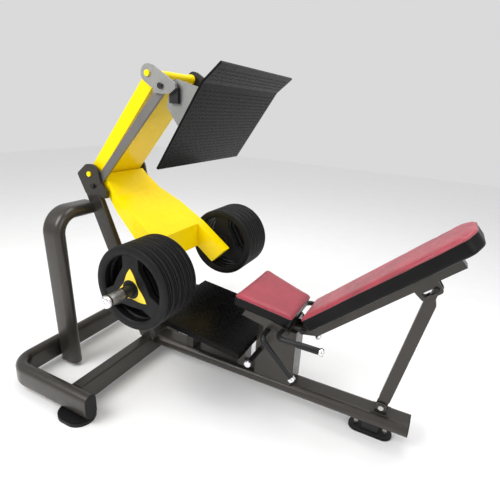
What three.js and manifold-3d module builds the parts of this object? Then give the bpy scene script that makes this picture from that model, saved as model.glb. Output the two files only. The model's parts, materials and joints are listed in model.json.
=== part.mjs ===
// Plate-loaded leg press with an overhead press arm, millimetres, +Z up.
// X runs from the rear of the base loop (-X) to the top of the backrest (+X). Both sides of the
// plane Y = 0 are alike, but the link bar and its bolts are only on the near side (-Y).
// The origin is the middle of the footprint.
import * as THREE from 'three';
import { mergeVertices } from 'three/addons/utils/BufferGeometryUtils.js';
import Module from 'manifold-3d';

const wasm = await Module();
wasm.setup();

// ---------------------------------------------------------------- driving dimensions
const GAP = 0.3; // clearance kept between touching solids
const OVAL = { tall: 124, thin: 62 }; // flat-oval frame tube
const BASE = { back: -984, end: -424, half: 645, z: 88, bend: 95 };
const CROSS = { x: -544, tall: 104, thin: 62, z: 83, edge: 8 };
const BEAM = { start: -512.7, end: 877, z: 100, top: 131, cap: 3 };
const GUARD = { x: -859.7, footY: 351, topY: 376, footZ: 26, topZ: 863, bend: 100, endY: 141 };
const UPRIGHT = {
  wide: 94, thin: 32, footX: -536, footY: 85, footZ: 135.3, topX: -795, topY: 161.5, topZ: 940,
};
const DECK = { x0: -366, z0: 407, x1: 123, z1: 346, half: 240, sheet: 4, flange: 30 };

const ARM_PIVOT = { x: -804, z: 1043 }; // press arm on the uprights
const LINK_PIVOT = { x: -783, z: 984 }; // link bar on the near upright
const HEAD_PIVOT = { x: -413, z: 1518 }; // footplate carriage on the press arm
const HEAD_LINK = { x: -344, z: 1470 }; // footplate carriage on the link bar
const ARM = { half: 146, deep: 64, wall: 6, legIn: 150, legOut: 213, shaft: 10 };
const PLANE = { carriage: 138, link0: 148, link1: 161.5, plate0: 163.5, plate1: 177.5 };
const HORN = { x: -282, z: 659, r: 24.5, out: 603, end: 621 };
const PLATE = { r: 190, thick: 43.5, inner: 261, count: 5, bore: 27, window: 150, hub: 84 };

const FOOTPLATE = { half: 335, thick: 9, profile: [[-240, 1148], [-30, 1478], [45, 1543]] };
const SEAT = {
  frontX: 56, frontZ: 611, rearX: 330, rearZ: 544, halfFront: 185, halfRear: 138, thick: 70,
};
const POST = { x0: 124, x1: 328, half: 60, top: 426 };
const BACK = { x: 516, z: 688, angle: 42, low: -232, bend: 345, high: 560, thick: 78 };
const BACK_HINGE = { s: -292, depth: 76 }; // on the backrest's own axes
const STRUT = { footX: 748, footZ: 163, topX: 856, topZ: 779, wide: 50, half: 14, pin: 7 };
const HANDLE = { r: 13, y: 200 };
const LEVER = { x: 209, z: 440, endX: 369, endZ: 285 };
const FOOT_BAR = { x: 149, z: 275 };

// ---------------------------------------------------------------- materials
const paint = (colour, roughness, metalness) =>
  new THREE.MeshStandardMaterial({ color: colour, roughness, metalness });
const framePaint = paint(0x3b352f, 0.42, 0.55);
const armPaint = paint(0xf4e300, 0.3, 0.0);
const silverPaint = paint(0x8f8f8b, 0.4, 0.5);
const blackPaint = paint(0x161616, 0.45, 0.2);
const blackRubber = paint(0x1a1a1a, 0.75, 0.0);
const gripRubber = paint(0x101010, 0.7, 0.0);
const checkerSteel = paint(0x17181a, 0.5, 0.4);
const linkPaint = paint(0x55534f, 0.4, 0.5);
const chrome = paint(0xd8d8d8, 0.15, 1.0);
const redVinyl = paint(0xa83244, 0.4, 0.0);
const zincSteel = paint(0xa9a49b, 0.35, 0.9);

// ---------------------------------------------------------------- solid helpers
function toManifold(geometry) {
  const bare = geometry.clone();
  bare.deleteAttribute('normal');
  bare.deleteAttribute('uv');
  const merged = mergeVertices(bare, 1e-4);
  return new wasm.Manifold(new wasm.Mesh({
    numProp: 3,
    vertProperties: new Float32Array(merged.attributes.position.array),
    triVerts: new Uint32Array(merged.index.array),
  }));
}

function fromManifold(manifold) {
  const mesh = manifold.getMesh();
  const geometry = new THREE.BufferGeometry();
  geometry.setAttribute('position', new THREE.BufferAttribute(mesh.vertProperties, 3));
  geometry.setIndex(new THREE.BufferAttribute(mesh.triVerts, 1));
  return geometry;
}

function joined(first, ...others) {
  let solid = toManifold(first);
  for (const other of others) solid = solid.add(toManifold(other));
  return fromManifold(solid);
}

function cut(body, ...tools) {
  let solid = toManifold(body);
  for (const tool of tools) solid = solid.subtract(toManifold(tool));
  return fromManifold(solid);
}

function common(first, second) {
  return fromManifold(toManifold(first).intersect(toManifold(second)));
}

// ---------------------------------------------------------------- outline helpers
function polygon(points) {
  return new THREE.Shape(points.map(([a, b]) => new THREE.Vector2(a, b)));
}

function disc(x, y, r) {
  const shape = new THREE.Shape();
  shape.absarc(x, y, r, 0, 2 * Math.PI, false);
  return shape;
}

// Flat oval centred on the origin: `a` along the first axis and `b` along the second.
function flatOval(a, b) {
  const shape = new THREE.Shape();
  if (a >= b) {
    shape.absarc(a / 2 - b / 2, 0, b / 2, -Math.PI / 2, Math.PI / 2, false);
    shape.absarc(b / 2 - a / 2, 0, b / 2, Math.PI / 2, 1.5 * Math.PI, false);
  } else {
    shape.absarc(0, b / 2 - a / 2, a / 2, 0, Math.PI, false);
    shape.absarc(0, a / 2 - b / 2, a / 2, Math.PI, 2 * Math.PI, false);
  }
  return shape;
}

function roundedBox(a, b, r) {
  const shape = new THREE.Shape();
  const u = a / 2 - r;
  const v = b / 2 - r;
  shape.absarc(u, v, r, 0, Math.PI / 2, false);
  shape.absarc(-u, v, r, Math.PI / 2, Math.PI, false);
  shape.absarc(-u, -v, r, Math.PI, 1.5 * Math.PI, false);
  shape.absarc(u, -v, r, 1.5 * Math.PI, 2 * Math.PI, false);
  return shape;
}

// Polygon with every corner rounded to its own radius: entries are [a, b, radius].
function softPolygon(corners, segments = 6) {
  const points = [];
  corners.forEach(([x, y, r], i) => {
    const here = new THREE.Vector2(x, y);
    const before = new THREE.Vector2(...corners.at(i - 1).slice(0, 2));
    const after = new THREE.Vector2(...corners[(i + 1) % corners.length].slice(0, 2));
    if (!r) {
      points.push(here);
      return;
    }
    const u = before.sub(here).normalize();
    const w = after.sub(here).normalize();
    const half = Math.acos(THREE.MathUtils.clamp(u.dot(w), -1, 1)) / 2;
    const centre = u.clone().add(w).normalize().multiplyScalar(r / Math.sin(half)).add(here);
    const start = u.clone().multiplyScalar(r / Math.tan(half)).add(here).sub(centre);
    const stop = w.clone().multiplyScalar(r / Math.tan(half)).add(here).sub(centre);
    let turn = stop.angle() - start.angle();
    if (turn > Math.PI) turn -= 2 * Math.PI;
    if (turn < -Math.PI) turn += 2 * Math.PI;
    for (let k = 0; k <= segments; k += 1) {
      const angle = start.angle() + (turn * k) / segments;
      points.push(new THREE.Vector2(
        centre.x + r * Math.cos(angle), centre.y + r * Math.sin(angle)));
    }
  });
  return new THREE.Shape(points);
}

// Outline of two discs and the tangents between them.
function strap(a, ra, b, rb, segments = 10) {
  const along = Math.atan2(b.z - a.z, b.x - a.x);
  const lean = Math.acos((ra - rb) / Math.hypot(b.x - a.x, b.z - a.z));
  const points = [];
  for (let k = 0; k <= segments; k += 1) {
    const angle = along + lean + ((2 * Math.PI - 2 * lean) * k) / segments;
    points.push([a.x + ra * Math.cos(angle), a.z + ra * Math.sin(angle)]);
  }
  for (let k = 0; k <= segments; k += 1) {
    const angle = along - lean + (2 * lean * k) / segments;
    points.push([b.x + rb * Math.cos(angle), b.z + rb * Math.sin(angle)]);
  }
  return polygon(points);
}

// ---------------------------------------------------------------- extrusion helpers
const SEGMENTS = 6;

function flatExtrude(shape, depth, segments = SEGMENTS) {
  return new THREE.ExtrudeGeometry(shape, { depth, bevelEnabled: false, curveSegments: segments });
}

// Shape drawn in (x, z), from y0 to y1.
function acrossY(shape, y0, y1, segments) {
  return flatExtrude(shape, y1 - y0, segments).rotateX(Math.PI / 2).translate(0, y1, 0);
}

// Shape drawn in (y, z), from x0 to x1.
function alongX(shape, x0, x1, segments) {
  const frame = new THREE.Matrix4().makeBasis(
    new THREE.Vector3(0, 1, 0), new THREE.Vector3(0, 0, 1), new THREE.Vector3(1, 0, 0));
  return flatExtrude(shape, x1 - x0, segments).applyMatrix4(frame).translate(x0, 0, 0);
}

// Shape drawn in (x, y), from z0 to z1.
function upZ(shape, z0, z1, segments) {
  return flatExtrude(shape, z1 - z0, segments).translate(0, 0, z0);
}

function rodY(x, z, r, y0, y1, segments = 20) {
  return new THREE.CylinderGeometry(r, r, y1 - y0, segments).translate(x, (y0 + y1) / 2, z);
}

// Path of straight runs joined by circular bends; it is sampled only where it turns.
class BentPath extends THREE.Curve {
  constructor(points, radius, bendSteps = 7) {
    super();
    this.stations = [];
    points.forEach((point, i) => {
      if (i === 0 || i === points.length - 1) {
        const other = i === 0 ? points[1] : points[i - 1];
        const tangent = other.clone().sub(point).normalize();
        this.stations.push({ point, tangent: i === 0 ? tangent : tangent.negate() });
        return;
      }
      const into = point.clone().sub(points[i - 1]).normalize();
      const out = points[i + 1].clone().sub(point).normalize();
      const turn = into.angleTo(out);
      const setback = radius * Math.tan(turn / 2);
      const side = out.clone().sub(into.clone().multiplyScalar(into.dot(out))).normalize();
      const start = point.clone().addScaledVector(into, -setback);
      for (let k = 0; k <= bendSteps; k += 1) {
        const angle = (turn * k) / bendSteps;
        this.stations.push({
          point: start.clone()
            .addScaledVector(into, radius * Math.sin(angle))
            .addScaledVector(side, radius * (1 - Math.cos(angle))),
          tangent: into.clone().multiplyScalar(Math.cos(angle))
            .addScaledVector(side, Math.sin(angle)),
        });
      }
    });
    this.steps = this.stations.length - 1;
  }

  getPointAt(u) {
    return this.stations[Math.round(u * this.steps)].point.clone();
  }

  getTangentAt(u) {
    return this.stations[Math.round(u * this.steps)].tangent.clone();
  }
}

function bentTube(section, points, radius, bendSteps, segments = SEGMENTS) {
  const path = new BentPath(points.map((p) => new THREE.Vector3(...p)), radius, bendSteps);
  return new THREE.ExtrudeGeometry(section, {
    steps: path.steps, extrudePath: path, bevelEnabled: false, curveSegments: segments,
  });
}

// ---------------------------------------------------------------- assembly helpers
const machine = new THREE.Group();
machine.name = 'leg_press';

function add(name, geometry, material) {
  const mesh = new THREE.Mesh(geometry, material);
  mesh.name = name;
  machine.add(mesh);
}

// Solid made for the far side (+Y), turned over to the near side where `side` is -1.
function handed(geometry, side) {
  if (side > 0) return geometry;
  const mirrored = geometry.clone().scale(1, -1, 1);
  const flat = mirrored.index ? mirrored.toNonIndexed() : mirrored;
  const position = flat.attributes.position;
  for (let i = 0; i < position.count; i += 3) {
    const [x, y, z] = [position.getX(i + 1), position.getY(i + 1), position.getZ(i + 1)];
    position.setXYZ(i + 1, position.getX(i + 2), position.getY(i + 2), position.getZ(i + 2));
    position.setXYZ(i + 2, x, y, z);
  }
  return flat;
}

// ---------------------------------------------------------------- base frame
const legY = BASE.half - OVAL.thin / 2;

function baseLoop() {
  const x = BASE.back + OVAL.thin / 2;
  return bentTube(flatOval(OVAL.tall, OVAL.thin), [
    [BASE.end, -legY, BASE.z], [x, -legY, BASE.z], [x, legY, BASE.z], [BASE.end, legY, BASE.z],
  ], BASE.bend);
}

function baseEndCap() {
  const section = flatOval(OVAL.thin, OVAL.tall);
  return alongX(section, BASE.end + GAP, BASE.end + 3 + GAP).translate(0, legY, BASE.z);
}

function crossTube() {
  const half = BASE.half - OVAL.thin - GAP;
  return acrossY(roundedBox(CROSS.thin, CROSS.tall, CROSS.edge), -half, half, 3)
    .translate(CROSS.x, 0, CROSS.z);
}

function mainBeam() {
  return alongX(flatOval(OVAL.tall, OVAL.thin), BEAM.start, BEAM.end - BEAM.cap - GAP)
    .translate(0, 0, BEAM.z);
}

function beamEndCap() {
  return alongX(flatOval(OVAL.tall, OVAL.thin), BEAM.end - BEAM.cap, BEAM.end)
    .translate(0, 0, BEAM.z);
}

// Rectangular tube that leans back and outward, cut level at both ends; `grow` thickens it.
function upright(grow = 0) {
  const rise = UPRIGHT.topZ - UPRIGHT.footZ;
  const leanX = (UPRIGHT.topX - UPRIGHT.footX) / rise;
  const leanY = (UPRIGHT.topY - UPRIGHT.footY) / rise;
  const lean = new THREE.Matrix4().set(
    1, 0, leanX, UPRIGHT.footX, 0, 1, leanY, UPRIGHT.footY, 0, 0, 1, UPRIGHT.footZ, 0, 0, 0, 1);
  const section = roundedBox(UPRIGHT.wide + 2 * grow, UPRIGHT.thin + 2 * grow, 6);
  return upZ(section, 0, rise, 3).applyMatrix4(lean);
}

function guardTube() {
  return cut(bentTube(flatOval(OVAL.tall, OVAL.thin), [
    [GUARD.x, GUARD.footY, GUARD.footZ], [GUARD.x, GUARD.topY, GUARD.topZ],
    [GUARD.x, GUARD.endY, GUARD.topZ],
  ], GUARD.bend), upright(GAP));
}

// Plate welded on an upright's top: it carries the press arm and, where `linked`, the link bar.
function pivotPlate(linked) {
  const foot = UPRIGHT.topZ + GAP;
  const { x, z } = ARM_PIVOT;
  const outline = softPolygon([
    [UPRIGHT.topX - 46, foot, 0], [-700, foot, 0], [-700, 974, 6], [-736, 1012, 16],
    [x + 52, z + 52, 46], [x - 22, z + 48, 34], [x - 88, z - 6, 12],
  ], 6);
  const block = acrossY(polygon([[-738, 932], [-700, 932], [-700, 974], [-738, 974]]),
    158, PLANE.plate1);
  const bores = [rodY(x, z, ARM.shaft + GAP, 100, 200, 16)];
  if (linked) bores.push(rodY(LINK_PIVOT.x, LINK_PIVOT.z, 8.3, 100, 200, 12));
  return cut(joined(acrossY(outline, PLANE.plate0, PLANE.plate1), block), ...bores);
}

// ---------------------------------------------------------------- feet and deck
function frontFoot() {
  const rubber = upZ(flatOval(184, 140), 0, 19, 7);
  const plate = upZ(flatOval(174, 130), 18, 26 - GAP, 7);
  return joined(rubber, plate).translate(-519, legY, 0);
}

function rearFootPlate() {
  const plate = upZ(flatOval(196, 80), 12 + GAP, 18, 7);
  const pedestal = upZ(roundedBox(80, 60, 5), 17, 69 - GAP, 2);
  return joined(plate, pedestal).translate(717, 0, 0);
}

const rearFootPad = () => upZ(flatOval(200, 84), 0, 12, 7).translate(717, 0, 0);

const footBolt = (x) => new THREE.CylinderGeometry(11, 11, 8, 6)
  .rotateX(Math.PI / 2).translate(x, 0, 18 + GAP + 4);

const deckZ = (x) => DECK.z0 + ((DECK.z1 - DECK.z0) * (x - DECK.x0)) / (DECK.x1 - DECK.x0);

// Slab between two depths under the deck's sloping top.
function deckSlab(x0, x1, top, bottom, half) {
  return acrossY(polygon([
    [x0, deckZ(x0) - bottom], [x1, deckZ(x1) - bottom], [x1, deckZ(x1) - top],
    [x0, deckZ(x0) - top],
  ]), -half, half);
}

function stepDeck() {
  const { x0, x1, half, sheet, flange } = DECK;
  return cut(deckSlab(x0, x1, 0, flange, half),
    deckSlab(x0 + sheet, x1 - sheet, sheet, flange + 10, half - sheet));
}

function deckSupport() {
  const low = BEAM.top + GAP;
  const under = DECK.sheet + GAP;
  const post = (x) => acrossY(polygon([
    [x - 20, low], [x + 20, low], [x + 20, deckZ(x + 20) - under], [x - 20, deckZ(x - 20) - under],
  ]), -40, 40);
  const rail = deckSlab(-300, 60, under, 34, 30);
  return joined(rail, post(-280), post(40));
}

// ---------------------------------------------------------------- press arm
const armAxis = Math.atan2(HEAD_PIVOT.z - ARM_PIVOT.z, HEAD_PIVOT.x - ARM_PIVOT.x);
const armLength = Math.hypot(HEAD_PIVOT.z - ARM_PIVOT.z, HEAD_PIVOT.x - ARM_PIVOT.x);

// Box along the arm's axis, from s0 to s1 and to each side of it.
function armBar(s0, s1, halfDeep, halfWide) {
  return acrossY(polygon([
    [s0, -halfDeep], [s1, -halfDeep], [s1, halfDeep], [s0, halfDeep],
  ]), -halfWide, halfWide).rotateY(-armAxis).translate(ARM_PIVOT.x, 0, ARM_PIVOT.z);
}

const SHELL_FRONT = [[-743, 1046], [-638, 951], [-511, 879], [-366, 785], [-195, 659]];
const SHELL_BACK = [[-270, 582], [-523, 775], [-646, 862], [-711, 930], [-736, 985], [-790, 1030]];
const SHEET_END = -366;

// Outline of the flared shell seen from above, `inset` inside its outer face.
function shellPlan(inset) {
  const { half, legOut } = ARM;
  const edge = [[-900, half], [-708, half], [-638, 163], [-511, 195], [SHEET_END, legOut],
    [0, legOut]].map(([x, y]) => [x, y - inset]);
  return polygon([...edge, ...edge.slice().reverse().map(([x, y]) => [x, -y])].reverse());
}

function armShell() {
  const profile = acrossY(polygon([...SHELL_FRONT, ...SHELL_BACK].reverse()),
    -ARM.legOut, ARM.legOut);
  return common(profile, upZ(shellPlan(0), 500, 1200));
}

function armShellHollow() {
  const roof = SHELL_FRONT.slice(0, 4).map(([x, z]) => [x - 5, z - 9]);
  const profile = acrossY(polygon([...roof, [-366, 500], [-820, 500], [-820, 900],
    [-775, 1040]].reverse()), -ARM.legIn, ARM.legIn);
  return common(profile, upZ(shellPlan(ARM.wall), 400, 1200));
}

function pressArm() {
  const hub = rodY(ARM_PIVOT.x, ARM_PIVOT.z, 34, -ARM.half, ARM.half, 24);
  const box = armBar(0, armLength - 44, ARM.deep / 2, ARM.half);
  const boxHollow = armBar(44, armLength, ARM.deep / 2 - ARM.wall, ARM.half - ARM.wall);
  const ear = cut(joined(
    rodY(HEAD_PIVOT.x, HEAD_PIVOT.z, 22, 132, ARM.half, 20),
    armBar(armLength - 60, armLength, 22, ARM.half)), rodY(0, 0, 900, -400, 132, 4));
  const gate = acrossY(polygon([[SHEET_END, 500], [-100, 500], [-100, 900], [SHEET_END, 900]]),
    -ARM.legIn, ARM.legIn);
  const bores = [ARM_PIVOT, HEAD_PIVOT]
    .map(({ x, z }) => rodY(x, z, ARM.shaft + GAP, -300, 300, 16));
  const farEar = common(ear, acrossY(polygon([[-900, 900], [0, 900], [0, 1700], [-900, 1700]]),
    132, 200));
  const body = cut(joined(hub, box, armShell()), armShellHollow(), boxHollow, gate);
  return cut(joined(body, farEar, handed(farEar, -1)), ...bores);
}

function pivotShaft({ x, z }, bodyR) {
  return joined(
    rodY(x, z, ARM.shaft, -PLANE.plate1 - 2, PLANE.plate1 + 2, 16),
    rodY(x, z, bodyR, -131, 131, 16),
    rodY(x, z, 13, PLANE.plate1 + GAP, PLANE.plate1 + 8, 16),
    rodY(x, z, 13, -PLANE.plate1 - 8, -PLANE.plate1 - GAP, 16));
}

// Loading horn: flange on the leg, tapering sleeve, bar and drilled end cap.
function horn() {
  const start = ARM.legOut + GAP;
  const profile = [
    [0, start], [42, start], [42, start + 10], [34, start + 12], [28, PLATE.inner - 4],
    [HORN.r, PLATE.inner - 4], [HORN.r, HORN.out], [26, HORN.out + 2], [26, HORN.end - 3],
    [23, HORN.end], [7, HORN.end], [7, HORN.end - 8], [0, HORN.end - 8],
  ].map(([r, h]) => new THREE.Vector2(r, h));
  return new THREE.LatheGeometry(profile, 24).translate(HORN.x, 0, HORN.z);
}

// Rubber plate with three grip windows around a triangular hub.
function weightPlate(index) {
  const rim = disc(HORN.x, HORN.z, PLATE.r);
  rim.holes.push(new THREE.Path(disc(HORN.x, HORN.z, PLATE.bore).getPoints(6)));
  for (let k = 0; k < 3; k += 1) {
    const middle = Math.PI / 2 + Math.PI / 3 + (k * 2 * Math.PI) / 3;
    const window = [];
    for (let i = -4; i <= 4; i += 1) {
      window.push([PLATE.window, middle + (i / 4) * 0.78]);
    }
    for (let i = 2; i >= -2; i -= 1) {
      const swing = (i / 2) * 0.62;
      window.push([PLATE.hub / Math.cos(swing), middle + swing]);
    }
    rim.holes.push(new THREE.Path(window.map(([r, angle]) => new THREE.Vector2(
      HORN.x + r * Math.cos(angle), HORN.z + r * Math.sin(angle))).reverse()));
  }
  const start = PLATE.inner + index * (PLATE.thick + GAP);
  return acrossY(rim, start, start + PLATE.thick, 8);
}

// ---------------------------------------------------------------- link bar and bolts
function linkBar() {
  return cut(acrossY(strap(LINK_PIVOT, 20, HEAD_LINK, 21, 8), PLANE.link0, PLANE.link1),
    rodY(LINK_PIVOT.x, LINK_PIVOT.z, 8.3, 100, 200, 12),
    rodY(HEAD_LINK.x, HEAD_LINK.z, 9.5, 100, 200, 12));
}

function linkBolt(pivot, r) {
  return joined(
    rodY(pivot.x, pivot.z, r, PLANE.link0 + 1, PLANE.plate1 + 2, 12),
    rodY(pivot.x, pivot.z, 13, PLANE.plate1 + GAP, PLANE.plate1 + 11, 6));
}

// ---------------------------------------------------------------- footplate carriage
function footplate() {
  const [low, kink, top] = FOOTPLATE.profile.map((p) => new THREE.Vector2(...p));
  const behind = (from, to) => new THREE.Vector2(from.y - to.y, to.x - from.x).normalize();
  const lower = behind(low, kink);
  const upper = behind(kink, top);
  const mitre = lower.clone().add(upper).normalize();
  const shift = (point, way, by) => point.clone().addScaledVector(way, by).toArray();
  const { thick, half } = FOOTPLATE;
  return acrossY(polygon([
    low.toArray(), kink.toArray(), top.toArray(), shift(top, upper, thick),
    shift(kink, mitre, thick / mitre.dot(lower)), shift(low, lower, thick),
  ]), -half, half);
}

// Side plate between the bracket and the back of the footplate.
function carriageSide() {
  const outline = [[-337, 1386], [-276, 1307], [-163, 1290], [-58, 1456], [-175, 1471],
    [-285, 1499], [-312, 1492]];
  return acrossY(polygon(outline), PLANE.carriage, PLANE.link0 - 0.6);
}

// Plate from the press arm's top shaft to the carriage, on a spacer block.
function carriageBracket(linked) {
  const plate = acrossY(strap(HEAD_PIVOT, 38, HEAD_LINK, 33, 10), PLANE.plate0, PLANE.plate1);
  const wing = acrossY(softPolygon([
    [-385, 1440, 0], [-300, 1440, 0], [-268, 1462, 4], [-272, 1482, 8], [-392, 1552, 0],
  ], 3), PLANE.plate0, PLANE.plate1);
  const block = acrossY(polygon([[-310, 1402], [-266, 1402], [-266, 1462], [-310, 1462]]),
    PLANE.link0 - GAP, PLANE.plate0 + 1);
  const bores = [rodY(HEAD_PIVOT.x, HEAD_PIVOT.z, ARM.shaft + GAP, 100, 200, 16)];
  if (linked) bores.push(rodY(HEAD_LINK.x, HEAD_LINK.z, 7.3, 100, 200, 12));
  return cut(joined(plate, wing, block), ...bores);
}

// ---------------------------------------------------------------- seat and handles
const seatSlope = (SEAT.rearZ - SEAT.frontZ) / (SEAT.rearX - SEAT.frontX);
const seatTop = (x) => SEAT.frontZ + seatSlope * (x - SEAT.frontX);
const seatDepth = SEAT.thick * Math.hypot(1, seatSlope);

function seatPad() {
  const { frontX, rearX, halfFront, halfRear } = SEAT;
  const profile = acrossY(polygon([
    [frontX, seatTop(frontX) - seatDepth], [rearX, seatTop(rearX) - seatDepth],
    [rearX, seatTop(rearX)], [frontX, seatTop(frontX)],
  ]), -250, 250);
  const plan = softPolygon([
    [frontX, -halfFront, 12], [rearX, -halfRear, 12], [rearX, halfRear, 12],
    [frontX, halfFront, 12],
  ], 3);
  return common(profile, upZ(plan, 300, 800));
}

function seatFrame() {
  const high = (x) => seatTop(x) - seatDepth - GAP;
  const rail = acrossY(polygon([
    [75, 483], [286, 438], [303, high(303)], [99, high(99)],
  ]), 100, 130);
  const lug = acrossY(polygon([
    [190, 424], [228, 424], [236, 462], [182, 470],
  ]), 112, 124);
  const tie = acrossY(polygon([
    [240, POST.top + GAP], [300, POST.top + GAP], [300, 452], [240, 462],
  ]), -101, 101);
  const hinge = backPoint(BACK_HINGE.s, BACK_HINGE.depth);
  const ear = acrossY(softPolygon([
    [270, POST.top + GAP, 0], [hinge.x + 17, POST.top + GAP, 10],
    [hinge.x + 14, hinge.z + 16, 14], [270, hinge.z + 14, 0],
  ], 4), 33, 41);
  return cut(joined(rail, lug, handed(rail, -1), handed(lug, -1), tie, ear, handed(ear, -1)),
    rodY(LEVER.x, LEVER.z, HANDLE.r + 2 * GAP, -200, 200, 16),
    rodY(hinge.x, hinge.z, 8 + GAP, -80, 80, 12));
}

function seatPost() {
  const { x0, x1, half, top } = POST;
  const box = upZ(roundedBox(x1 - x0, 2 * half, 8), BEAM.top + GAP, top, 3)
    .translate((x0 + x1) / 2, 0, 0);
  return cut(box, rodY(FOOT_BAR.x, FOOT_BAR.z, HANDLE.r + 2 * GAP, -100, 100, 16));
}

function grip() {
  const { r, y } = HANDLE;
  const bar = bentTube(disc(0, 0, r), [[284, 131, 462], [284, y, 465], [479, y, 465]],
    34, 5, 6);
  const cap = alongX(disc(0, 0, 17), 478, 497, 6).translate(0, y, 465);
  return joined(bar, cap);
}

function stopLever() {
  const { x, z, endX, endZ } = LEVER;
  const { y, r } = HANDLE;
  const half = (r * 2) / Math.hypot(endX - x, endZ - z);
  const tipX = endX + (endX - x) * half * 0.5;
  const tipZ = endZ + (endZ - z) * half * 0.5;
  const bar = bentTube(disc(0, 0, r), [
    [endX, -y, endZ], [x, -y, z], [x, y, z], [endX, y, endZ],
  ], 34, 5, 6);
  const cap = (side) => bentTube(disc(0, 0, 17), [
    [endX - (tipX - endX), side * y, endZ - (tipZ - endZ)], [tipX, side * y, tipZ],
  ], 1, 1, 6);
  return joined(bar, cap(-1), cap(1));
}

function footBar() {
  const { x, z } = FOOT_BAR;
  const { y, r } = HANDLE;
  return joined(rodY(x, z, r, -y, y, 16), rodY(x, z, 16, y - 18, y + 2, 16),
    rodY(x, z, 16, -y - 2, 18 - y, 16));
}

// ---------------------------------------------------------------- backrest and strut
const backTurn = THREE.MathUtils.degToRad(BACK.angle);

// Point `s` up the backrest and `depth` under its front face.
function backPoint(s, depth) {
  return {
    x: BACK.x + s * Math.cos(backTurn) + depth * Math.sin(backTurn),
    z: BACK.z + s * Math.sin(backTurn) - depth * Math.cos(backTurn),
  };
}

// Place a solid drawn with x up the backrest, y across it and z out of its front face.
function onBackrest(geometry) {
  return geometry.rotateY(-backTurn).translate(BACK.x, 0, BACK.z);
}

function backrestPad() {
  const { low, bend, high, thick } = BACK;
  const outline = softPolygon([
    [low, -118, 12], [bend, -130, 0], [high - 40, -122, 40], [high, -70, 60],
    [high, 70, 60], [high - 40, 122, 40], [bend, 130, 0], [low, 118, 12],
  ], 5);
  return onBackrest(upZ(outline, -thick, 0));
}

const slotStart = (() => {
  const dx = STRUT.topX - BACK.x;
  const dz = STRUT.topZ - BACK.z;
  return {
    s: dx * Math.cos(backTurn) + dz * Math.sin(backTurn),
    depth: dx * Math.sin(backTurn) - dz * Math.cos(backTurn),
  };
})();
const SLOT_TRAVEL = 52;

function backrestBeam() {
  const { s: hs, depth: hd } = BACK_HINGE;
  const top = BACK.thick + GAP;
  const bar = onBackrest(acrossY(softPolygon([
    [-254, -top, 0], [hs + 10, -hd + 18, 0], [hs - 16, -hd + 16, 14], [hs - 16, -hd - 16, 14],
    [-246, -130, 0], [452, -130, 0], [452, -top, 0],
  ], 4), -30, 30));
  const slot = strap(
    { x: slotStart.s, z: -slotStart.depth }, 10.5,
    { x: slotStart.s - SLOT_TRAVEL, z: -slotStart.depth }, 10.5, 6);
  const ear = softPolygon([
    [slotStart.s - SLOT_TRAVEL - 26, -129, 0], [slotStart.s - SLOT_TRAVEL - 18, -182, 12],
    [slotStart.s + 20, -182, 14], [slotStart.s + 26, -129, 0],
  ], 4);
  ear.holes.push(new THREE.Path(slot.getPoints()));
  const plate = (y0) => onBackrest(acrossY(ear.clone(), y0, y0 + 7));
  const hinge = backPoint(hs, hd);
  return cut(joined(bar, plate(16), plate(-23)), rodY(hinge.x, hinge.z, 8 + GAP, -80, 80, 12));
}

function hingePin() {
  const { x, z } = backPoint(BACK_HINGE.s, BACK_HINGE.depth);
  return crossBolt(x, z, 8, 41);
}

function strut() {
  const { footX, footZ, topX, topZ, wide, half } = STRUT;
  const length = Math.hypot(topX - footX, topZ - footZ);
  const outline = softPolygon([
    [-15, -15, 12], [15, -15, 12], [wide / 2, 40, 0], [wide / 2, length - 70, 0],
    [13, length - 44, 0], [13, length + 14, 11], [-13, length + 14, 11],
    [-13, length - 44, 0], [-wide / 2, length - 70, 0], [-wide / 2, 40, 0],
  ], 4);
  return cut(acrossY(outline, -half, half),
    rodY(0, 0, 8 + GAP, -50, 50, 12), rodY(0, length, STRUT.pin + GAP, -50, 50, 12))
    .rotateY(Math.atan2(topX - footX, topZ - footZ)).translate(footX, 0, footZ);
}

function strutFootBracket() {
  const low = BEAM.top + GAP;
  const { footX: x, footZ: z } = STRUT;
  const base = acrossY(polygon([
    [x - 40, low], [x + 40, low], [x + 40, low + 6], [x - 40, low + 6],
  ]), -36, 36);
  const ear = acrossY(softPolygon([
    [x - 28, low + 5, 0], [x + 28, low + 5, 0], [x + 20, z + 22, 18], [x - 20, z + 22, 18],
  ], 4), 16, 22);
  return cut(joined(base, ear, handed(ear, -1)), rodY(x, z, 8 + GAP, -60, 60, 12));
}

// Bolt across Y with a head at each end, `half` from the middle.
function crossBolt(x, z, r, half) {
  return joined(
    rodY(x, z, r, -half - 2, half + 2, 12),
    rodY(x, z, r + 5, half + GAP, half + 9, 6),
    rodY(x, z, r + 5, -half - 9, -half - GAP, 6));
}

// ---------------------------------------------------------------- build the machine
add('base_loop', baseLoop(), framePaint);
add('cross_tube', crossTube(), framePaint);
add('main_beam', mainBeam(), framePaint);
add('beam_end_cap', beamEndCap(), blackRubber);
add('rear_foot_pad', rearFootPad(), blackRubber);
add('rear_foot_plate', rearFootPlate(), blackPaint);
add('rear_foot_bolt_front', footBolt(650), zincSteel);
add('rear_foot_bolt_rear', footBolt(783), zincSteel);
add('step_deck', stepDeck(), checkerSteel);
add('deck_support', deckSupport(), framePaint);
add('seat_post', seatPost(), framePaint);
add('seat_frame', seatFrame(), framePaint);
add('seat_pad', seatPad(), redVinyl);
add('backrest_beam', backrestBeam(), framePaint);
add('backrest_pad', backrestPad(), redVinyl);
add('backrest_hinge_pin', hingePin(), zincSteel);
add('strut', strut(), framePaint);
add('strut_top_pin', crossBolt(STRUT.topX, STRUT.topZ, STRUT.pin, 23.5), zincSteel);
add('strut_foot_bracket', strutFootBracket(), framePaint);
add('strut_bottom_pin', crossBolt(STRUT.footX, STRUT.footZ, 8, 22.5), zincSteel);
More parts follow.
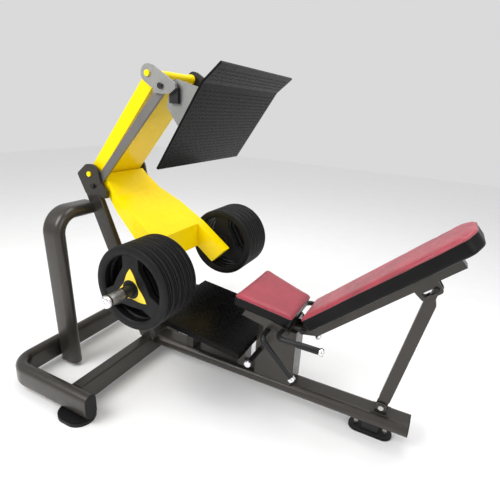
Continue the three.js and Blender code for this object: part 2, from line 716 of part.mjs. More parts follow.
add('stop_lever', stopLever(), gripRubber);
add('foot_bar', footBar(), gripRubber);
add('press_arm', pressArm(), armPaint);
add('arm_shaft', pivotShaft(ARM_PIVOT, ARM.shaft), armPaint);
add('arm_top_shaft', pivotShaft(HEAD_PIVOT, 18), armPaint);
add('footplate', footplate(), checkerSteel);
add('link_bar', handed(linkBar(), -1), linkPaint);
add('link_bolt_lower', handed(linkBolt(LINK_PIVOT, 8), -1), blackPaint);
add('link_bolt_upper', handed(linkBolt(HEAD_LINK, 7), -1), blackPaint);

for (const [side, sign] of [['near', -1], ['far', 1]]) {
  const linked = sign < 0;
  const pair = (name, geometry, material) => {
    add(`${name}_${side}`, handed(geometry, sign), material);
  };
  pair('guard_tube', guardTube(), framePaint);
  pair('upright', upright(), framePaint);
  pair('pivot_plate', pivotPlate(linked), framePaint);
  pair('base_end_cap', baseEndCap(), blackRubber);
  pair('front_foot', frontFoot(), blackRubber);
  pair('grip', grip(), gripRubber);
  pair('carriage_bracket', carriageBracket(linked), silverPaint);
  pair('carriage_side', carriageSide(), silverPaint);
  pair('horn', horn(), chrome);
  for (let i = 0; i < PLATE.count; i += 1) {
    pair(`plate_${i + 1}`, weightPlate(i), blackRubber);
  }
}

export default machine;
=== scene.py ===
import json
import math

import bmesh
import bpy
from mathutils import Matrix, Vector


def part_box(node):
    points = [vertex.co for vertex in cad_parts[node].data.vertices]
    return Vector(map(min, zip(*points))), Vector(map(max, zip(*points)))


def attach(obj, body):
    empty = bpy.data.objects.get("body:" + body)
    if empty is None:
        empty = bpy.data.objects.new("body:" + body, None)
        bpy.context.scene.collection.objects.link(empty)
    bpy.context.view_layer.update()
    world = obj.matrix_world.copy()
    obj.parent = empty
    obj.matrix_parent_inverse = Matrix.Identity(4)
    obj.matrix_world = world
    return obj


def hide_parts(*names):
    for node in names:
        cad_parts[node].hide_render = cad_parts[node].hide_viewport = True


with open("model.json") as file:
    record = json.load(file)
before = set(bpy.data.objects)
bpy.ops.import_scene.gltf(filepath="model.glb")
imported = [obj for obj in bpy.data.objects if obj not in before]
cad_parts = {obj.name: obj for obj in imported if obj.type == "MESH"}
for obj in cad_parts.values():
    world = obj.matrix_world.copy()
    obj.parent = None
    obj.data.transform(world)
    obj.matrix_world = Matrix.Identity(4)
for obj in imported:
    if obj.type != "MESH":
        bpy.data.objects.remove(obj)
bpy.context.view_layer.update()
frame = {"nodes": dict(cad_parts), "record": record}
SIDES = (("near", -1), ("far", 1))

# ---------------------------------------------------------------- driving dimensions, in metres
OVAL = (0.124, 0.062)  # flat-oval frame tube
BASE_BEND = 0.095
GUARD_BEND = 0.1
GUARD_FOOT_Y, GUARD_TOP_Y, GUARD_END_Y = 0.351, 0.376, 0.141
TUBE_BEND_STEPS = 18
TUBE_EDGE = 0.0015

HANDLE_R = 0.0122
HANDLE_Y = 0.2
HANDLE_BEND = 0.034
GRIP_START = (0.284, 0.131, 0.462)
GRIP_END_X, GRIP_Z = 0.480, 0.465
LEVER_SHAFT = (0.209, 0.440)
LEVER_END = (0.369, 0.285)

HORN_X, HORN_Z = -0.282, 0.659
DISC_R = 0.190
DISC_THICK = 0.0435
WEB_THICK = 0.030
PANEL_THICK = 0.003
PANEL_AT = 0.0163  # from the disc's middle plane to the panel's

SEAM_DEPTH = 0.0125  # of the piped seam under a pad's face
PIPING_R = 0.0022
PUFF_CAP = 0.004
PAD_VOXEL = 0.006
PAD_CORNER = 0.014
OUTLINE_STEP = 0.03
SEAT_REAR_Z = 0.544
SEAT_HALF_FRONT, SEAT_HALF_REAR = 0.185, 0.138
SEAT_THICK = 0.070
BACK_AT = (0.516, 0, 0.688)
BACK_ANGLE = math.radians(42)
BACK_LOW, BACK_BEND, BACK_HIGH = -0.232, 0.345, 0.560
BACK_THICK = 0.078

FOOTPLATE_LOW = (-0.240, 0, 1.148)
FOOTPLATE_KINK = (-0.030, 0, 1.478)
FOOTPLATE_TOP = (0.045, 0, 1.543)
FOOTPLATE_LUG_WIDTH = 0.65
DECK_START, DECK_STOP = (-0.366, 0, 0.407), (0.123, 0, 0.346)
DECK_LUG_WIDTH = 0.464
LUG_PITCH = 0.017
LUG_RISE = 0.0009

# ---------------------------------------------------------------- camera, light and floor
CAMERA_AT = Vector((0.7937, -1.5991, 1.407))
CAMERA_RIGHT = Vector((0.8899, 0.4527, 0.0559))
CAMERA_UP = Vector((-0.1998, 0.2766, 0.9400))
FOCAL_MM = 28.25


def make_camera():
    data = bpy.data.cameras.new("camera")
    data.lens = FOCAL_MM
    data.sensor_width = 36
    data.shift_x = 0.0049
    data.shift_y = -0.0056
    camera = bpy.data.objects.new("camera", data)
    right = CAMERA_RIGHT.normalized()
    back = right.cross(CAMERA_UP).normalized()
    turn = Matrix((right, back.cross(right), back)).transposed()
    camera.matrix_world = Matrix.Translation(CAMERA_AT) @ turn.to_4x4()
    bpy.context.collection.objects.link(camera)
    bpy.context.scene.camera = camera


def area_light(name, at, look_at, size, power):
    data = bpy.data.lights.new(name, "AREA")
    data.shape = "DISK"
    data.size = size
    data.energy = power
    lamp = bpy.data.objects.new(name, data)
    lamp.location = at
    lamp.rotation_euler = (Vector(look_at) - Vector(at)).to_track_quat("-Z", "Y").to_euler()
    bpy.context.collection.objects.link(lamp)


def make_studio():
    world = bpy.data.worlds.new("studio")
    world.use_nodes = True
    world.node_tree.nodes["Background"].inputs["Color"].default_value = (1, 1, 1, 1)
    world.node_tree.nodes["Background"].inputs["Strength"].default_value = 0.7
    bpy.context.scene.world = world
    bpy.context.scene.view_settings.view_transform = "Standard"
    area_light("key", (-1.6, -2.6, 3.2), (0, 0, 0.6), 2.2, 95)
    area_light("fill", (3.2, -1.6, 2.2), (0.2, 0, 0.6), 2.5, 30)
    area_light("top", (0.3, 0.6, 3.6), (0, 0, 0.4), 2.6, 55)
    mesh = bpy.data.meshes.new("floor")
    mesh.from_pydata([(-9, -9, 0), (9, -9, 0), (9, 9, 0), (-9, 9, 0)], [], [(0, 1, 2, 3)])
    floor = bpy.data.objects.new("floor", mesh)
    bpy.context.collection.objects.link(floor)
    mesh.materials.append(make_material("floor_white", (0.93, 0.93, 0.93), rough=0.6, vary=0.01))


# ---------------------------------------------------------------- materials
class Shader:
    """A node tree built up from one Principled shader."""

    def __init__(self, name):
        self.material = bpy.data.materials.new(name)
        self.material.use_nodes = True
        self.tree = self.material.node_tree
        self.surface = self.tree.nodes["Principled BSDF"]

    def add(self, kind, **values):
        node = self.tree.nodes.new(kind)
        for key, value in values.items():
            if hasattr(node, key):
                setattr(node, key, value)
            else:
                node.inputs[key.replace("_", " ")].default_value = value
        return node

    def link(self, source, target):
        self.tree.links.new(source, target)

    def noise(self, scale, detail=4.0):
        place = self.add("ShaderNodeTexCoord")
        texture = self.add("ShaderNodeTexNoise", Scale=scale, Detail=detail)
        self.link(place.outputs["Object"], texture.inputs["Vector"])
        return texture.outputs["Fac"]

    def ramp(self, factor, low, high, start=0.3, stop=0.7):
        ramp = self.add("ShaderNodeValToRGB")
        ramp.color_ramp.elements[0].position = start
        ramp.color_ramp.elements[0].color = low
        ramp.color_ramp.elements[1].position = stop
        ramp.color_ramp.elements[1].color = high
        self.link(factor, ramp.inputs["Fac"])
        return ramp.outputs["Color"]

    def bump(self, height, distance, strength=1.0, base=None):
        node = self.add("ShaderNodeBump", Strength=strength, Distance=distance)
        self.link(height, node.inputs["Height"])
        if base is not None:
            self.link(base, node.inputs["Normal"])
        self.link(node.outputs["Normal"], self.surface.inputs["Normal"])
        return node.outputs["Normal"]


def shade(colour, factor):
    return tuple(min(1.0, c * factor) for c in colour) + (1.0,)


def make_material(name, colour, rough, metal=0.0, vary=0.08, broad=6.0, grain=350.0, depth=0.00004,
                  coat=0.0):
    """Paint, rubber or plastic: colour and roughness drift slowly and a fine grain stands out."""
    shader = Shader(name)
    drift = shader.noise(broad)
    shader.link(shader.ramp(drift, shade(colour, 1 - vary), shade(colour, 1 + vary)),
                shader.surface.inputs["Base Color"])
    low = (max(0.02, rough - 0.07),) * 3 + (1,)
    high = (min(1.0, rough + 0.07),) * 3 + (1,)
    shader.link(shader.ramp(shader.noise(broad * 5), low, high), shader.surface.inputs["Roughness"])
    shader.surface.inputs["Metallic"].default_value = metal
    shader.surface.inputs["Coat Weight"].default_value = coat
    shader.surface.inputs["Coat Roughness"].default_value = 0.12
    shader.bump(shader.noise(grain, 2.0), depth)
    return shader.material


def make_flake_paint(name, colour, rough):
    """Metallic powder coat: fine light and dark flakes over a slow drift, with orange peel."""
    shader = Shader(name)
    flakes = shader.ramp(shader.noise(1400, 1.0), shade(colour, 0.72), shade(colour, 1.5), 0.42, 0.62)
    drift = shader.ramp(shader.noise(5), shade(colour, 0.85), shade(colour, 1.2))
    mix = shader.add("ShaderNodeMix", data_type="RGBA", blend_type="MIX")
    mix.inputs["Factor"].default_value = 0.45
    shader.link(flakes, mix.inputs[6])
    shader.link(drift, mix.inputs[7])
    shader.link(mix.outputs[2], shader.surface.inputs["Base Color"])
    shader.link(shader.ramp(shader.noise(30), (rough - 0.06,) * 3 + (1,), (rough + 0.08,) * 3 + (1,)),
                shader.surface.inputs["Roughness"])
    shader.surface.inputs["Metallic"].default_value = 0.55
    shader.surface.inputs["Coat Weight"].default_value = 0.25
    shader.surface.inputs["Coat Roughness"].default_value = 0.2
    shader.bump(shader.noise(260, 2.0), 0.00006)
    return shader.material


def make_leather(name, colour, rough):
    """Upholstery vinyl: cell-like grain, slow mottling and soft creases."""
    shader = Shader(name)
    mottle = shader.ramp(shader.noise(9, 6.0), shade(colour, 0.82), shade(colour, 1.2))
    shader.link(mottle, shader.surface.inputs["Base Color"])
    shader.link(shader.ramp(shader.noise(40), (rough - 0.06,) * 3 + (1,), (rough + 0.1,) * 3 + (1,)),
                shader.surface.inputs["Roughness"])
    place = shader.add("ShaderNodeTexCoord")
    cells = shader.add("ShaderNodeTexVoronoi", feature="DISTANCE_TO_EDGE", Scale=620.0)
    shader.link(place.outputs["Object"], cells.inputs["Vector"])
    creases = shader.bump(shader.noise(14, 5.0), 0.0012, 0.35)
    shader.bump(cells.outputs["Distance"], 0.00035, 0.6, creases)
    shader.surface.inputs["Sheen Weight"].default_value = 0.15
    return shader.material


make_camera()
M = {
    "frame": make_flake_paint("frame_bronze", (0.043, 0.038, 0.033), 0.34),
    "yellow": make_material("arm_yellow", (0.96, 0.71, 0.0), 0.3, vary=0.015, broad=3, coat=0.06,
                            grain=240, depth=0.00001),
    "silver": make_flake_paint("silver_grey", (0.26, 0.26, 0.25), 0.4),
    "link": make_flake_paint("link_grey", (0.17, 0.162, 0.154), 0.4),
    "black": make_material("black_satin", (0.016, 0.016, 0.017), 0.4, vary=0.2),
    "rubber": make_material("black_rubber", (0.0065, 0.0065, 0.007), 0.5, vary=0.25, grain=700,
                            depth=0.0001),
    "sleeve": make_material("sleeve_rubber", (0.010, 0.010, 0.011), 0.38, vary=0.2, grain=900,
                            depth=0.00008),
    "tread": make_material("tread_plate", (0.003, 0.003, 0.0032), 0.3, vary=0.35, broad=14,
                           grain=500, depth=0.0001),
    "chrome": make_material("chrome", (0.82, 0.82, 0.84), 0.12, metal=1.0, vary=0.06, broad=30,
                            depth=0.00001),
    "zinc": make_material("zinc", (0.55, 0.53, 0.50), 0.32, metal=0.95, vary=0.12, broad=40),
    "red": make_leather("red_vinyl", (0.31, 0.028, 0.048), 0.4),
    "side": make_leather("black_vinyl", (0.005, 0.005, 0.0055), 0.36),
    "piping": make_leather("piping_vinyl", (0.26, 0.035, 0.05), 0.45),
    "panel": make_material("hub_yellow", (0.90, 0.66, 0.02), 0.35, vary=0.08, broad=25),
}
for look, level in (("tread", 0.1), ("side", 0.15), ("rubber", 0.2), ("sleeve", 0.3), ("black", 0.3),
                    ("yellow", 0.2)):
    surface = M[look].node_tree.nodes["Principled BSDF"]
    surface.inputs["Specular IOR Level"].default_value = level
    surface.inputs["Sheen Weight"].default_value = 0.0
make_studio()

# ---------------------------------------------------------------- mesh helpers
SMOOTH_ANGLE = math.radians(38)


def link_mesh(name, mesh, *materials):
    piece = bpy.data.objects.new(name, mesh)
    bpy.context.collection.objects.link(piece)
    for material in materials:
        mesh.materials.append(material)
    return piece


def smooth(mesh, angle=SMOOTH_ANGLE):
    mesh.shade_smooth()
    mesh.set_sharp_from_angle(angle=angle)


def finish_piece(piece, body, *nodes, bevel=0.0):
    smooth(piece.data)
    if bevel:
        round_edges(piece, bevel)
    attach(piece, body)
    if nodes:
        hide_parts(*nodes)


def round_edges(piece, width, segments=3):
    bevel = piece.modifiers.new("edges", "BEVEL")
    bevel.width = width
    bevel.segments = segments
    bevel.limit_method = "ANGLE"
    bevel.angle_limit = math.radians(40)
    bevel.harden_normals = True
    bevel.use_clamp_overlap = True


def from_bmesh(name, bm, *materials):
    bmesh.ops.recalc_face_normals(bm, faces=bm.faces)
    mesh = bpy.data.meshes.new(name)
    bm.to_mesh(mesh)
    bm.free()
    return link_mesh(name, mesh, *materials)


def oval_section(a, b, steps=14):
    """Flat oval, `a` long on the first axis and `b` on the second."""
    r = min(a, b) / 2
    ends = []
    for k in range(2 * steps + 2):
        half = k // (steps + 1)
        angle = math.pi * (half + (k % (steps + 1)) / steps)
        if a >= b:
            angle -= math.pi / 2
            shift = ((a / 2 - r) * (1 - 2 * half), 0)
        else:
            shift = (0, (b / 2 - r) * (1 - 2 * half))
        ends.append((shift[0] + r * math.cos(angle), shift[1] + r * math.sin(angle)))
    return ends


def bent_path(points, radius, steps=14):
    """Stations (point, tangent) of straight runs joined by circular bends."""
    points = [Vector(p) for p in points]
    stations = [(points[0], (points[1] - points[0]).normalized())]
    for i in range(1, len(points) - 1):
        into = (points[i] - points[i - 1]).normalized()
        out = (points[i + 1] - points[i]).normalized()
        turn = into.angle(out)
        side = (out - into * into.dot(out)).normalized()
        start = points[i] - into * radius * math.tan(turn / 2)
        for k in range(steps + 1):
            a = turn * k / steps
            place = start + into * radius * math.sin(a) + side * radius * (1 - math.cos(a))
            stations.append((place, into * math.cos(a) + side * math.sin(a)))
    stations.append((points[-1], (points[-1] - points[-2]).normalized()))
    return stations


def sweep(bm, section, stations, first_axis, material_index=0):
    """Sweeps a closed section along stations; its first axis starts along `first_axis`."""
    axis = Vector(first_axis)
    rings = []
    for place, tangent in stations:
        axis = (axis - tangent * axis.dot(tangent)).normalized()
        other = tangent.cross(axis)
        rings.append([bm.verts.new(place + axis * u + other * v) for u, v in section])
    count = len(section)
    for near, far in zip(rings, rings[1:]):
        for k in range(count):
            face = bm.faces.new((near[k], near[(k + 1) % count], far[(k + 1) % count], far[k]))
            face.material_index = material_index
    for ring in (rings[0], rings[-1]):
        bm.faces.new(ring).material_index = material_index


def circle_section(r, count=28):
    return [(r * math.cos(2 * math.pi * k / count), r * math.sin(2 * math.pi * k / count))
            for k in range(count)]


def lathe(bm, profile, at, axis, count=56, material_index=0):
    """Turns (radius, height) points about an axis through `at`; the ends lie on the axis or close."""
    axis = Vector(axis).normalized()
    across = axis.orthogonal().normalized()
    other = axis.cross(across)
    at = Vector(at)
    rings = []
    for r, h in profile:
        if r < 1e-7:
            rings.append([bm.verts.new(at + axis * h)])
            continue
        rings.append([bm.verts.new(at + axis * h + (across * math.cos(a) + other * math.sin(a)) * r)
                      for a in (2 * math.pi * k / count for k in range(count))])
    closed = len(rings[0]) > 1
    pairs = list(zip(rings, rings[1:] + (rings[:1] if closed else [])))
    for near, far in pairs if closed else pairs[:len(rings) - 1]:
        for k in range(count):
            j = (k + 1) % count
            corners = [near[k % len(near)], near[j % len(near)], far[j % len(far)], far[k % len(far)]]
            corners = list(dict.fromkeys(corners))
            if len(corners) > 2:
                bm.faces.new(corners).material_index = material_index


# ---------------------------------------------------------------- frame tubes
def make_base_loop():
    low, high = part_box("base_loop")
    y = high[1] - OVAL[1] / 2
    x = low[0] + OVAL[1] / 2
    z = (low[2] + high[2]) / 2
    bm = bmesh.new()
    route = [(high[0], -y, z), (x, -y, z), (x, y, z), (high[0], y, z)]
    sweep(bm, oval_section(*OVAL), bent_path(route, BASE_BEND, TUBE_BEND_STEPS), (0, 0, 1))
    finish_piece(from_bmesh("base_loop_tube", bm, M["frame"]), "frame", "base_loop", bevel=TUBE_EDGE)


def make_guard(side, sign):
    low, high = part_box(f"guard_tube_{side}")
    x = (low[0] + high[0]) / 2
    top = high[2] - OVAL[1] / 2
    bm = bmesh.new()
    route = [(x, GUARD_FOOT_Y * sign, low[2]), (x, GUARD_TOP_Y * sign, top),
             (x, GUARD_END_Y * sign, top)]
    sweep(bm, oval_section(*OVAL), bent_path(route, GUARD_BEND, TUBE_BEND_STEPS), (1, 0, 0))
    finish_piece(from_bmesh(f"guard_{side}", bm, M["frame"]), "frame", f"guard_tube_{side}",
                 bevel=TUBE_EDGE)


# ---------------------------------------------------------------- handles
CAP_PROFILE = [(0, 0.019), (0.0125, 0.019), (0.0160, 0.0165), (0.0172, 0.013), (0.0172, 0.003),
               (0.0160, 0), (0, 0)]


def make_grip(side, sign):
    x, start_y, start_z = GRIP_START
    y = HANDLE_Y * sign
    bm = bmesh.new()
    route = [(x, start_y * sign, start_z), (x, y, GRIP_Z), (GRIP_END_X, y, GRIP_Z)]
    sweep(bm, circle_section(HANDLE_R), bent_path(route, HANDLE_BEND), (0, 0, 1))
    lathe(bm, CAP_PROFILE, (GRIP_END_X - 0.002, y, GRIP_Z), (1, 0, 0), 40, 1)
    lathe(bm, [(0.0135, 0.06), (0.0145, 0.061), (0.0145, 0.158), (0.0135, 0.160)],
          (x + HANDLE_BEND, y, GRIP_Z), (1, 0, 0), 40, 0)
    piece = from_bmesh(f"grip_bar_{side}", bm, M["sleeve"], M["chrome"])
    finish_piece(piece, "frame", f"grip_{side}")


def make_lever():
    bm = bmesh.new()
    shaft = Vector((LEVER_SHAFT[0], 0, LEVER_SHAFT[1]))
    end = Vector((LEVER_END[0], 0, LEVER_END[1]))
    side = Vector((0, HANDLE_Y, 0))
    route = [end - side, shaft - side, shaft + side, end + side]
    sweep(bm, circle_section(HANDLE_R), bent_path(route, HANDLE_BEND), (0, 1, 0))
    way = (end - shaft).normalized()
    for sign in (-1, 1):
        lathe(bm, CAP_PROFILE, end + side * sign - way * 0.006, way, 40, 1)
    finish_piece(from_bmesh("lever_bar", bm, M["sleeve"], M["chrome"]), "stop_lever", "stop_lever")


def make_foot_bar():
    low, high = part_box("foot_bar")
    at = Vector(((low[0] + high[0]) / 2, 0, (low[2] + high[2]) / 2))
    bm = bmesh.new()
    reach = high[1] - 0.012
    sweep(bm, circle_section(HANDLE_R), [(at - Vector((0, reach, 0)), Vector((0, 1, 0))),
                                    (at + Vector((0, reach, 0)), Vector((0, 1, 0)))], (0, 0, 1))
    for sign in (-1, 1):
        lathe(bm, CAP_PROFILE, at + Vector((0, sign * (high[1] - 0.019), 0)), (0, sign, 0), 40, 1)
    finish_piece(from_bmesh("foot_bar_rod", bm, M["sleeve"], M["chrome"]), "frame", "foot_bar")


# ---------------------------------------------------------------- discs and horns
def make_horn(side, sign):
    bm = bmesh.new()
    axis = (0, sign, 0)
    at = (HORN_X, 0, HORN_Z)
    lathe(bm, [(0, 0.2133), (0.042, 0.2133), (0.042, 0.222), (0.040, 0.2235), (0.034, 0.2245),
               (0.030, 0.240), (0.027, 0.257), (0.0245, 0.258), (0.0245, 0.53), (0, 0.53)],
          at, axis, 48, 0)
    lathe(bm, [(0, 0.50), (0.0243, 0.50), (0.0243, 0.602), (0, 0.602)], at, axis, 48, 1)
    lathe(bm, [(0, 0.598), (0.0255, 0.598), (0.026, 0.600), (0.026, 0.616), (0.0245, 0.6195),
               (0.022, 0.621), (0.0085, 0.621), (0.0075, 0.620), (0.007, 0.612), (0, 0.612)],
          at, axis, 48, 2)
    piece = from_bmesh(f"horn_bar_{side}", bm, M["black"], M["zinc"], M["chrome"])
    finish_piece(piece, "press_arm", f"horn_{side}")


def flat_shape(name, rings, thick, edge):
    """Sheet with holes cut from closed outlines in (x, z), rounded at its edges, centred on y = 0."""
    curve = bpy.data.curves.new(name, "CURVE")
    curve.dimensions = "2D"
    curve.fill_mode = "BOTH"
    curve.extrude = thick / 2 - edge
    curve.bevel_depth = edge
    curve.bevel_resolution = 2
    curve.offset = -edge
    for ring in rings:
        spline = curve.splines.new("POLY")
        spline.points.add(len(ring) - 1)
        for point, (x, z) in zip(spline.points, ring):
            point.co = (x, z, 0, 1)
        spline.use_cyclic_u = True
    holder = bpy.data.objects.new(name, curve)
    bpy.context.collection.objects.link(holder)
    bpy.context.view_layer.update()
    mesh = bpy.data.meshes.new_from_object(holder.evaluated_get(bpy.context.evaluated_depsgraph_get()))
    bpy.data.objects.remove(holder)
    mesh.transform(Matrix.Rotation(math.radians(90), 4, "X"))
    mesh.materials.clear()
    return mesh


def arc(r, start, stop, count, bow=None):
    """Points at radius r, or along a chord at distance r when `bow` says how far it curves out."""
    points = []
    middle = (start + stop) / 2
    for k in range(count + 1):
        a = start + (stop - start) * k / count
        reach = r if bow is None else (r / math.cos(a - middle)) * (1 - bow) + r * bow
        points.append((reach * math.cos(a), reach * math.sin(a)))
    return points


def disc_web():
    """Outlines of the disc's web: rim circle, bore and three grip windows."""
    rings = [arc(0.158, 0, 2 * math.pi, 96)[:-1], arc(0.0270, 0, 2 * math.pi, 48)[:-1]]
    for k in range(3):
        middle = math.pi / 2 + math.pi / 3 + k * 2 * math.pi / 3
        rings.append(arc(0.149, middle - 0.76, middle + 0.76, 22)
                     + arc(0.085, middle + 0.60, middle - 0.60, 14, bow=0.15))
    return rings


def hub_panel():
    """Yellow three-cornered panel round the bore, its sides drawn in."""
    ring = []
    for k in range(3):
        corner = math.pi / 2 + k * 2 * math.pi / 3
        for j in range(24):
            a = corner + j / 24 * 2 * math.pi / 3
            swing = abs(a - corner - math.pi / 3) / (math.pi / 3)
            reach = 0.043 + 0.050 * swing ** 2.2
            ring.append((reach * math.cos(a), reach * math.sin(a)))
    return [ring, arc(0.0285, 0, 2 * math.pi, 40)[:-1]]


def rim_profile(thick):
    """Rounded rubber rim with two grooves round its tread."""
    half, inner, outer = thick / 2, 0.149, DISC_R
    points = [(inner, -half + 0.008), (inner + 0.006, -half + 0.002), (inner + 0.012, -half),
              (outer - 0.012, -half), (outer - 0.004, -half + 0.003), (outer, -half + 0.010)]
    for groove in (-0.0045, 0.0045):
        points += [(outer, groove - 0.0028), (outer - 0.0045, groove - 0.0012),
                   (outer - 0.0045, groove + 0.0012), (outer, groove + 0.0028)]
    points += [(outer, half - 0.010), (outer - 0.004, half - 0.003), (outer - 0.012, half),
               (inner + 0.012, half), (inner + 0.006, half - 0.002), (inner, half - 0.008)]
    return points


def make_discs():
    web = flat_shape("web", disc_web(), WEB_THICK, 0.003)
    panel = flat_shape("panel", hub_panel(), PANEL_THICK, 0.0006)
    for side, sign in SIDES:
        for number in range(1, 6):
            node = f"plate_{number}_{side}"
            low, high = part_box(node)
            y = (low[1] + high[1]) / 2
            bm = bmesh.new()
            lathe(bm, rim_profile(DISC_THICK), (0, 0, 0), (0, 1, 0), 112)
            bm.from_mesh(web)
            lathe(bm, [(0.0268, -0.020), (0.040, -0.020), (0.043, -0.017), (0.043, 0.017),
                       (0.040, 0.020), (0.0268, 0.020)], (0, 0, 0), (0, 1, 0), 48)
            start = len(bm.faces)
            bm.from_mesh(panel)
            bm.faces.ensure_lookup_table()
            for face in bm.faces[start:]:
                face.material_index = 1
                for vert in face.verts:
                    vert.tag = True
            for vert in bm.verts:
                if vert.tag:
                    vert.co.y += sign * PANEL_AT
            bmesh.ops.translate(bm, verts=bm.verts, vec=(HORN_X, y, HORN_Z))
            piece = from_bmesh(f"disc_{number}_{side}", bm, M["rubber"], M["panel"])
            finish_piece(piece, node, node)


# ---------------------------------------------------------------- upholstery
CLOTH_FRAMES = 20
CLOTH_PRESSURE = 4.0


def apply_modifiers(piece):
    graph = bpy.context.evaluated_depsgraph_get()
    mesh = bpy.data.meshes.new_from_object(piece.evaluated_get(graph))
    piece.modifiers.clear()
    piece.data = mesh


def puff(piece):
    """Swells a pad as stuffed cloth, no point moving further than PUFF_CAP."""
    remesh = piece.modifiers.new("remesh", "REMESH")
    remesh.mode = "VOXEL"
    remesh.voxel_size = PAD_VOXEL
    apply_modifiers(piece)
    before = [v.co.copy() for v in piece.data.vertices]
    cloth = piece.modifiers.new("cloth", "CLOTH")
    cloth.settings.use_pressure = True
    cloth.settings.uniform_pressure_force = CLOTH_PRESSURE
    cloth.settings.effector_weights.gravity = 0.0
    cloth.point_cache.frame_end = CLOTH_FRAMES
    scene = bpy.context.scene
    for step in range(1, CLOTH_FRAMES + 1):
        scene.frame_set(step)
    apply_modifiers(piece)
    scene.frame_set(1)
    for vert, start in zip(piece.data.vertices, before):
        move = vert.co - start
        if move.length > PUFF_CAP:
            vert.co = start + move.normalized() * PUFF_CAP


def rounded_outline(corners, steps=8):
    """Closed outline with each corner (x, y, radius) rounded."""
    points = []
    for i, (x, y, r) in enumerate(corners):
        here = Vector((x, y))
        before = (Vector(corners[i - 1][:2]) - here).normalized()
        after = (Vector(corners[(i + 1) % len(corners)][:2]) - here).normalized()
        if r == 0:
            points.append((x, y))
            continue
        half = before.angle(after) / 2
        centre = here + (before + after).normalized() * (r / math.sin(half))
        start = here + before * (r / math.tan(half)) - centre
        stop = here + after * (r / math.tan(half)) - centre
        turn = math.atan2(start.x * stop.y - start.y * stop.x, start.dot(stop))
        for k in range(steps + 1):
            a = turn * k / steps
            points.append((centre.x + start.x * math.cos(a) - start.y * math.sin(a),
                           centre.y + start.x * math.sin(a) + start.y * math.cos(a)))
    return points


def make_cushion(name, node, body, outline, thick, place):
    """Board-backed pad: red face, black sides and a piped seam, drawn face up at z = 0."""
    inset = PUFF_CAP * 0.9
    middle = sum((Vector(p) for p in outline), Vector((0, 0))) / len(outline)
    shrunk = [Vector(p) + (middle - Vector(p)).normalized() * inset for p in outline]
    bm = bmesh.new()
    top = [bm.verts.new((p.x, p.y, -inset)) for p in shrunk]
    low = [bm.verts.new((p.x, p.y, -thick + inset)) for p in shrunk]
    bm.faces.new(top)
    bm.faces.new(low[::-1])
    for k in range(len(top)):
        j = (k + 1) % len(top)
        bm.faces.new((top[k], low[k], low[j], top[j]))
    pad = from_bmesh(name, bm)
    rounding = pad.modifiers.new("rounding", "BEVEL")
    rounding.width = 0.012
    rounding.segments = 4
    rounding.limit_method = "ANGLE"
    rounding.angle_limit = math.radians(60)
    apply_modifiers(pad)
    puff(pad)
    divide = pad.modifiers.new("divide", "SUBSURF")
    divide.levels = divide.render_levels = 1
    apply_modifiers(pad)
    for material in (M["side"], M["red"]):
        pad.data.materials.append(material)
    for face in pad.data.polygons:
        face.material_index = 1 if face.center.z > -SEAM_DEPTH else 0
    bpy.context.view_layer.update()
    route = []
    for x, y in outline:
        _found, surface, normal, _face = pad.closest_point_on_mesh((x, y, -SEAM_DEPTH))
        route.append(surface + normal * 0.0004)
    pad.data.transform(place)
    pad.data.shade_smooth()
    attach(pad, body)
    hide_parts(node)
    bm = bmesh.new()
    count = len(route)
    ways = [(route[(k + 1) % count] - route[k - 1]).normalized() for k in range(count)]
    section = circle_section(PIPING_R, 10)
    rings = []
    for point, way in zip(route, ways):
        out = way.cross(Vector((0, 0, 1)))
        rings.append([bm.verts.new(point + out * u + Vector((0, 0, v))) for u, v in section])
    for k in range(count):
        near, far = rings[k], rings[(k + 1) % count]
        for j in range(len(section)):
            i = (j + 1) % len(section)
            bm.faces.new((near[j], near[i], far[i], far[j]))
    piping = from_bmesh(f"{name}_piping", bm, M["piping"])
    piping.data.transform(place)
    piping.data.shade_smooth()
    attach(piping, body)


def make_seat():
    low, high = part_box("seat_pad")
    run = high[0] - low[0]
    fall = math.atan2(SEAT_REAR_Z - high[2], run)
    long = run / math.cos(fall)
    outline = rounded_outline([
        (0, -SEAT_HALF_FRONT, PAD_CORNER), (long, -SEAT_HALF_REAR, PAD_CORNER),
        (long, SEAT_HALF_REAR, PAD_CORNER), (0, SEAT_HALF_FRONT, PAD_CORNER)])
    outline = subdivide_outline(outline, OUTLINE_STEP)
    place = Matrix.Translation((low[0], 0, high[2])) @ Matrix.Rotation(-fall, 4, "Y")
    make_cushion("seat_cushion", "seat_pad", "frame", outline, SEAT_THICK, place)


def subdivide_outline(points, step):
    """The same outline with no two points further apart than `step`."""
    dense = []
    for k, point in enumerate(points):
        here, there = Vector(point), Vector(points[(k + 1) % len(points)])
        parts = max(1, math.ceil((there - here).length / step))
        dense += [tuple(here.lerp(there, j / parts)) for j in range(parts)]
    return dense


def make_backrest():
    shoulder = BACK_HIGH - 0.04
    half = [(BACK_LOW, 0.118, PAD_CORNER), (BACK_BEND, 0.130, 0), (shoulder, 0.122, 0.04),
            (BACK_HIGH, 0.070, 0.06)]
    outline = rounded_outline([(s, -y, r) for s, y, r in half] + half[::-1])
    outline = subdivide_outline(outline, OUTLINE_STEP)
    place = Matrix.Translation(BACK_AT) @ Matrix.Rotation(-BACK_ANGLE, 4, "Y")
    make_cushion("back_cushion", "backrest_pad", "backrest", outline, BACK_THICK, place)


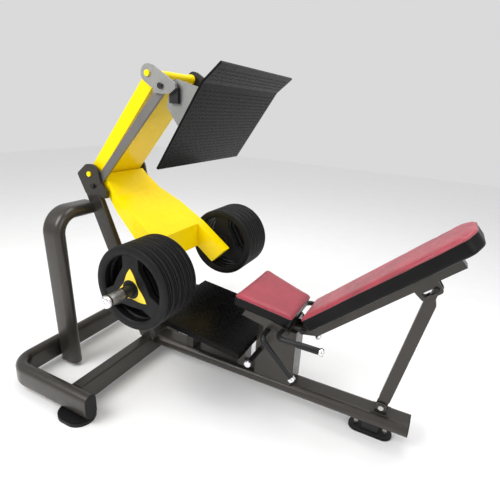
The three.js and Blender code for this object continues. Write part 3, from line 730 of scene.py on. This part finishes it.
# ---------------------------------------------------------------- tread plate
def add_lugs(bm, origin, along, across, normal, length, width, pitch=LUG_PITCH):
    """Raised lens-shaped lugs, turned in alternate directions, over a rectangle."""
    rows, columns = int(length / pitch), int(width / pitch)
    for row in range(rows):
        for column in range(columns):
            sign = 1 if (row + column) % 2 else -1
            way = (along + across * sign).normalized()
            side = normal.cross(way)
            middle = origin + along * (row + 0.5) * pitch + across * (column + 0.5) * pitch
            reach, half, rise = pitch * 0.42, pitch * 0.12, LUG_RISE
            ends = [bm.verts.new(middle - way * reach), bm.verts.new(middle + side * half),
                    bm.verts.new(middle + way * reach), bm.verts.new(middle - side * half)]
            tops = [bm.verts.new(middle - way * reach * 0.6 + normal * rise),
                    bm.verts.new(middle + side * half * 0.5 + normal * rise),
                    bm.verts.new(middle + way * reach * 0.6 + normal * rise),
                    bm.verts.new(middle - side * half * 0.5 + normal * rise)]
            bm.faces.new(tops)
            bm.faces.new(ends[::-1])
            for k in range(4):
                j = (k + 1) % 4
                bm.faces.new((ends[k], ends[j], tops[j], tops[k]))


def make_treads():
    y = Vector((0, 1, 0))
    low, kink, top = Vector(FOOTPLATE_LOW), Vector(FOOTPLATE_KINK), Vector(FOOTPLATE_TOP)
    bm = bmesh.new()
    for start, stop in ((low, kink), (kink, top)):
        along = (stop - start).normalized()
        normal = along.cross(y).normalized()
        if normal.x < 0:
            normal.negate()
        length = (stop - start).length - 0.024
        corner = start + along * 0.012 - y * FOOTPLATE_LUG_WIDTH / 2
        add_lugs(bm, corner, along, y, normal, length, FOOTPLATE_LUG_WIDTH)
    piece = from_bmesh("footplate_lugs", bm, M["tread"])
    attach(piece, "carriage")
    start, stop = Vector(DECK_START), Vector(DECK_STOP)
    along = (stop - start).normalized()
    normal = along.cross(y).normalized()
    if normal.z < 0:
        normal.negate()
    bm = bmesh.new()
    corner = start + along * 0.01 - y * DECK_LUG_WIDTH / 2
    add_lugs(bm, corner, along, y, normal, (stop - start).length - 0.02, DECK_LUG_WIDTH)
    piece = from_bmesh("deck_lugs", bm, M["tread"])
    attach(piece, "frame")


# ---------------------------------------------------------------- kept CAD nodes
SLOT_LOOKS = {
    "frame_paint": "frame", "arm_paint": "yellow", "silver_paint": "silver", "link_paint": "link",
    "black_paint": "black", "black_rubber": "rubber", "grip_rubber": "sleeve",
    "checker_steel": "tread", "red_vinyl": "red", "zinc": "zinc", "chrome": "chrome",
}
BEVELS = {"frame": 0.003, "yellow": 0.003, "silver": 0.0012, "link": 0.0015, "black": 0.001,
          "rubber": 0.0015, "tread": 0.0015, "zinc": 0.0008}


BLACK_PINS = ("backrest_hinge_pin", "strut_top_pin")


def paint_shade_faces(node, look, chosen):
    """Gives the faces that `chosen` accepts a second material, here a painted shade."""
    node.data.materials.append(M[look])
    for face in node.data.polygons:
        if chosen(node.matrix_world @ face.center):
            face.material_index = 1


def dress_cad_nodes():
    for part in frame["record"]["subparts"]:
        node = frame["nodes"][part["node"]]
        look = SLOT_LOOKS[part["material_slot"]]
        if part["node"] in BLACK_PINS:
            look = "black"
        node.data.materials.clear()
        node.data.materials.append(M[look])
        smooth(node.data)
        round_edges(node, BEVELS.get(look, 0.001), 2)
    # Painted shade: the carriage brackets' inner parts (|y| < 0.165) are painted black where the
    # bracket's underside lies in shadow.
    for side, _sign in SIDES:
        paint_shade_faces(frame["nodes"][f"carriage_bracket_{side}"], "black",
                    lambda at: abs(at.y) < 0.165)


dress_cad_nodes()
make_base_loop()
for side_name, side_sign in SIDES:
    make_guard(side_name, side_sign)
    make_grip(side_name, side_sign)
    make_horn(side_name, side_sign)
make_lever()
make_foot_bar()
make_discs()
make_treads()
make_seat()
make_backrest()
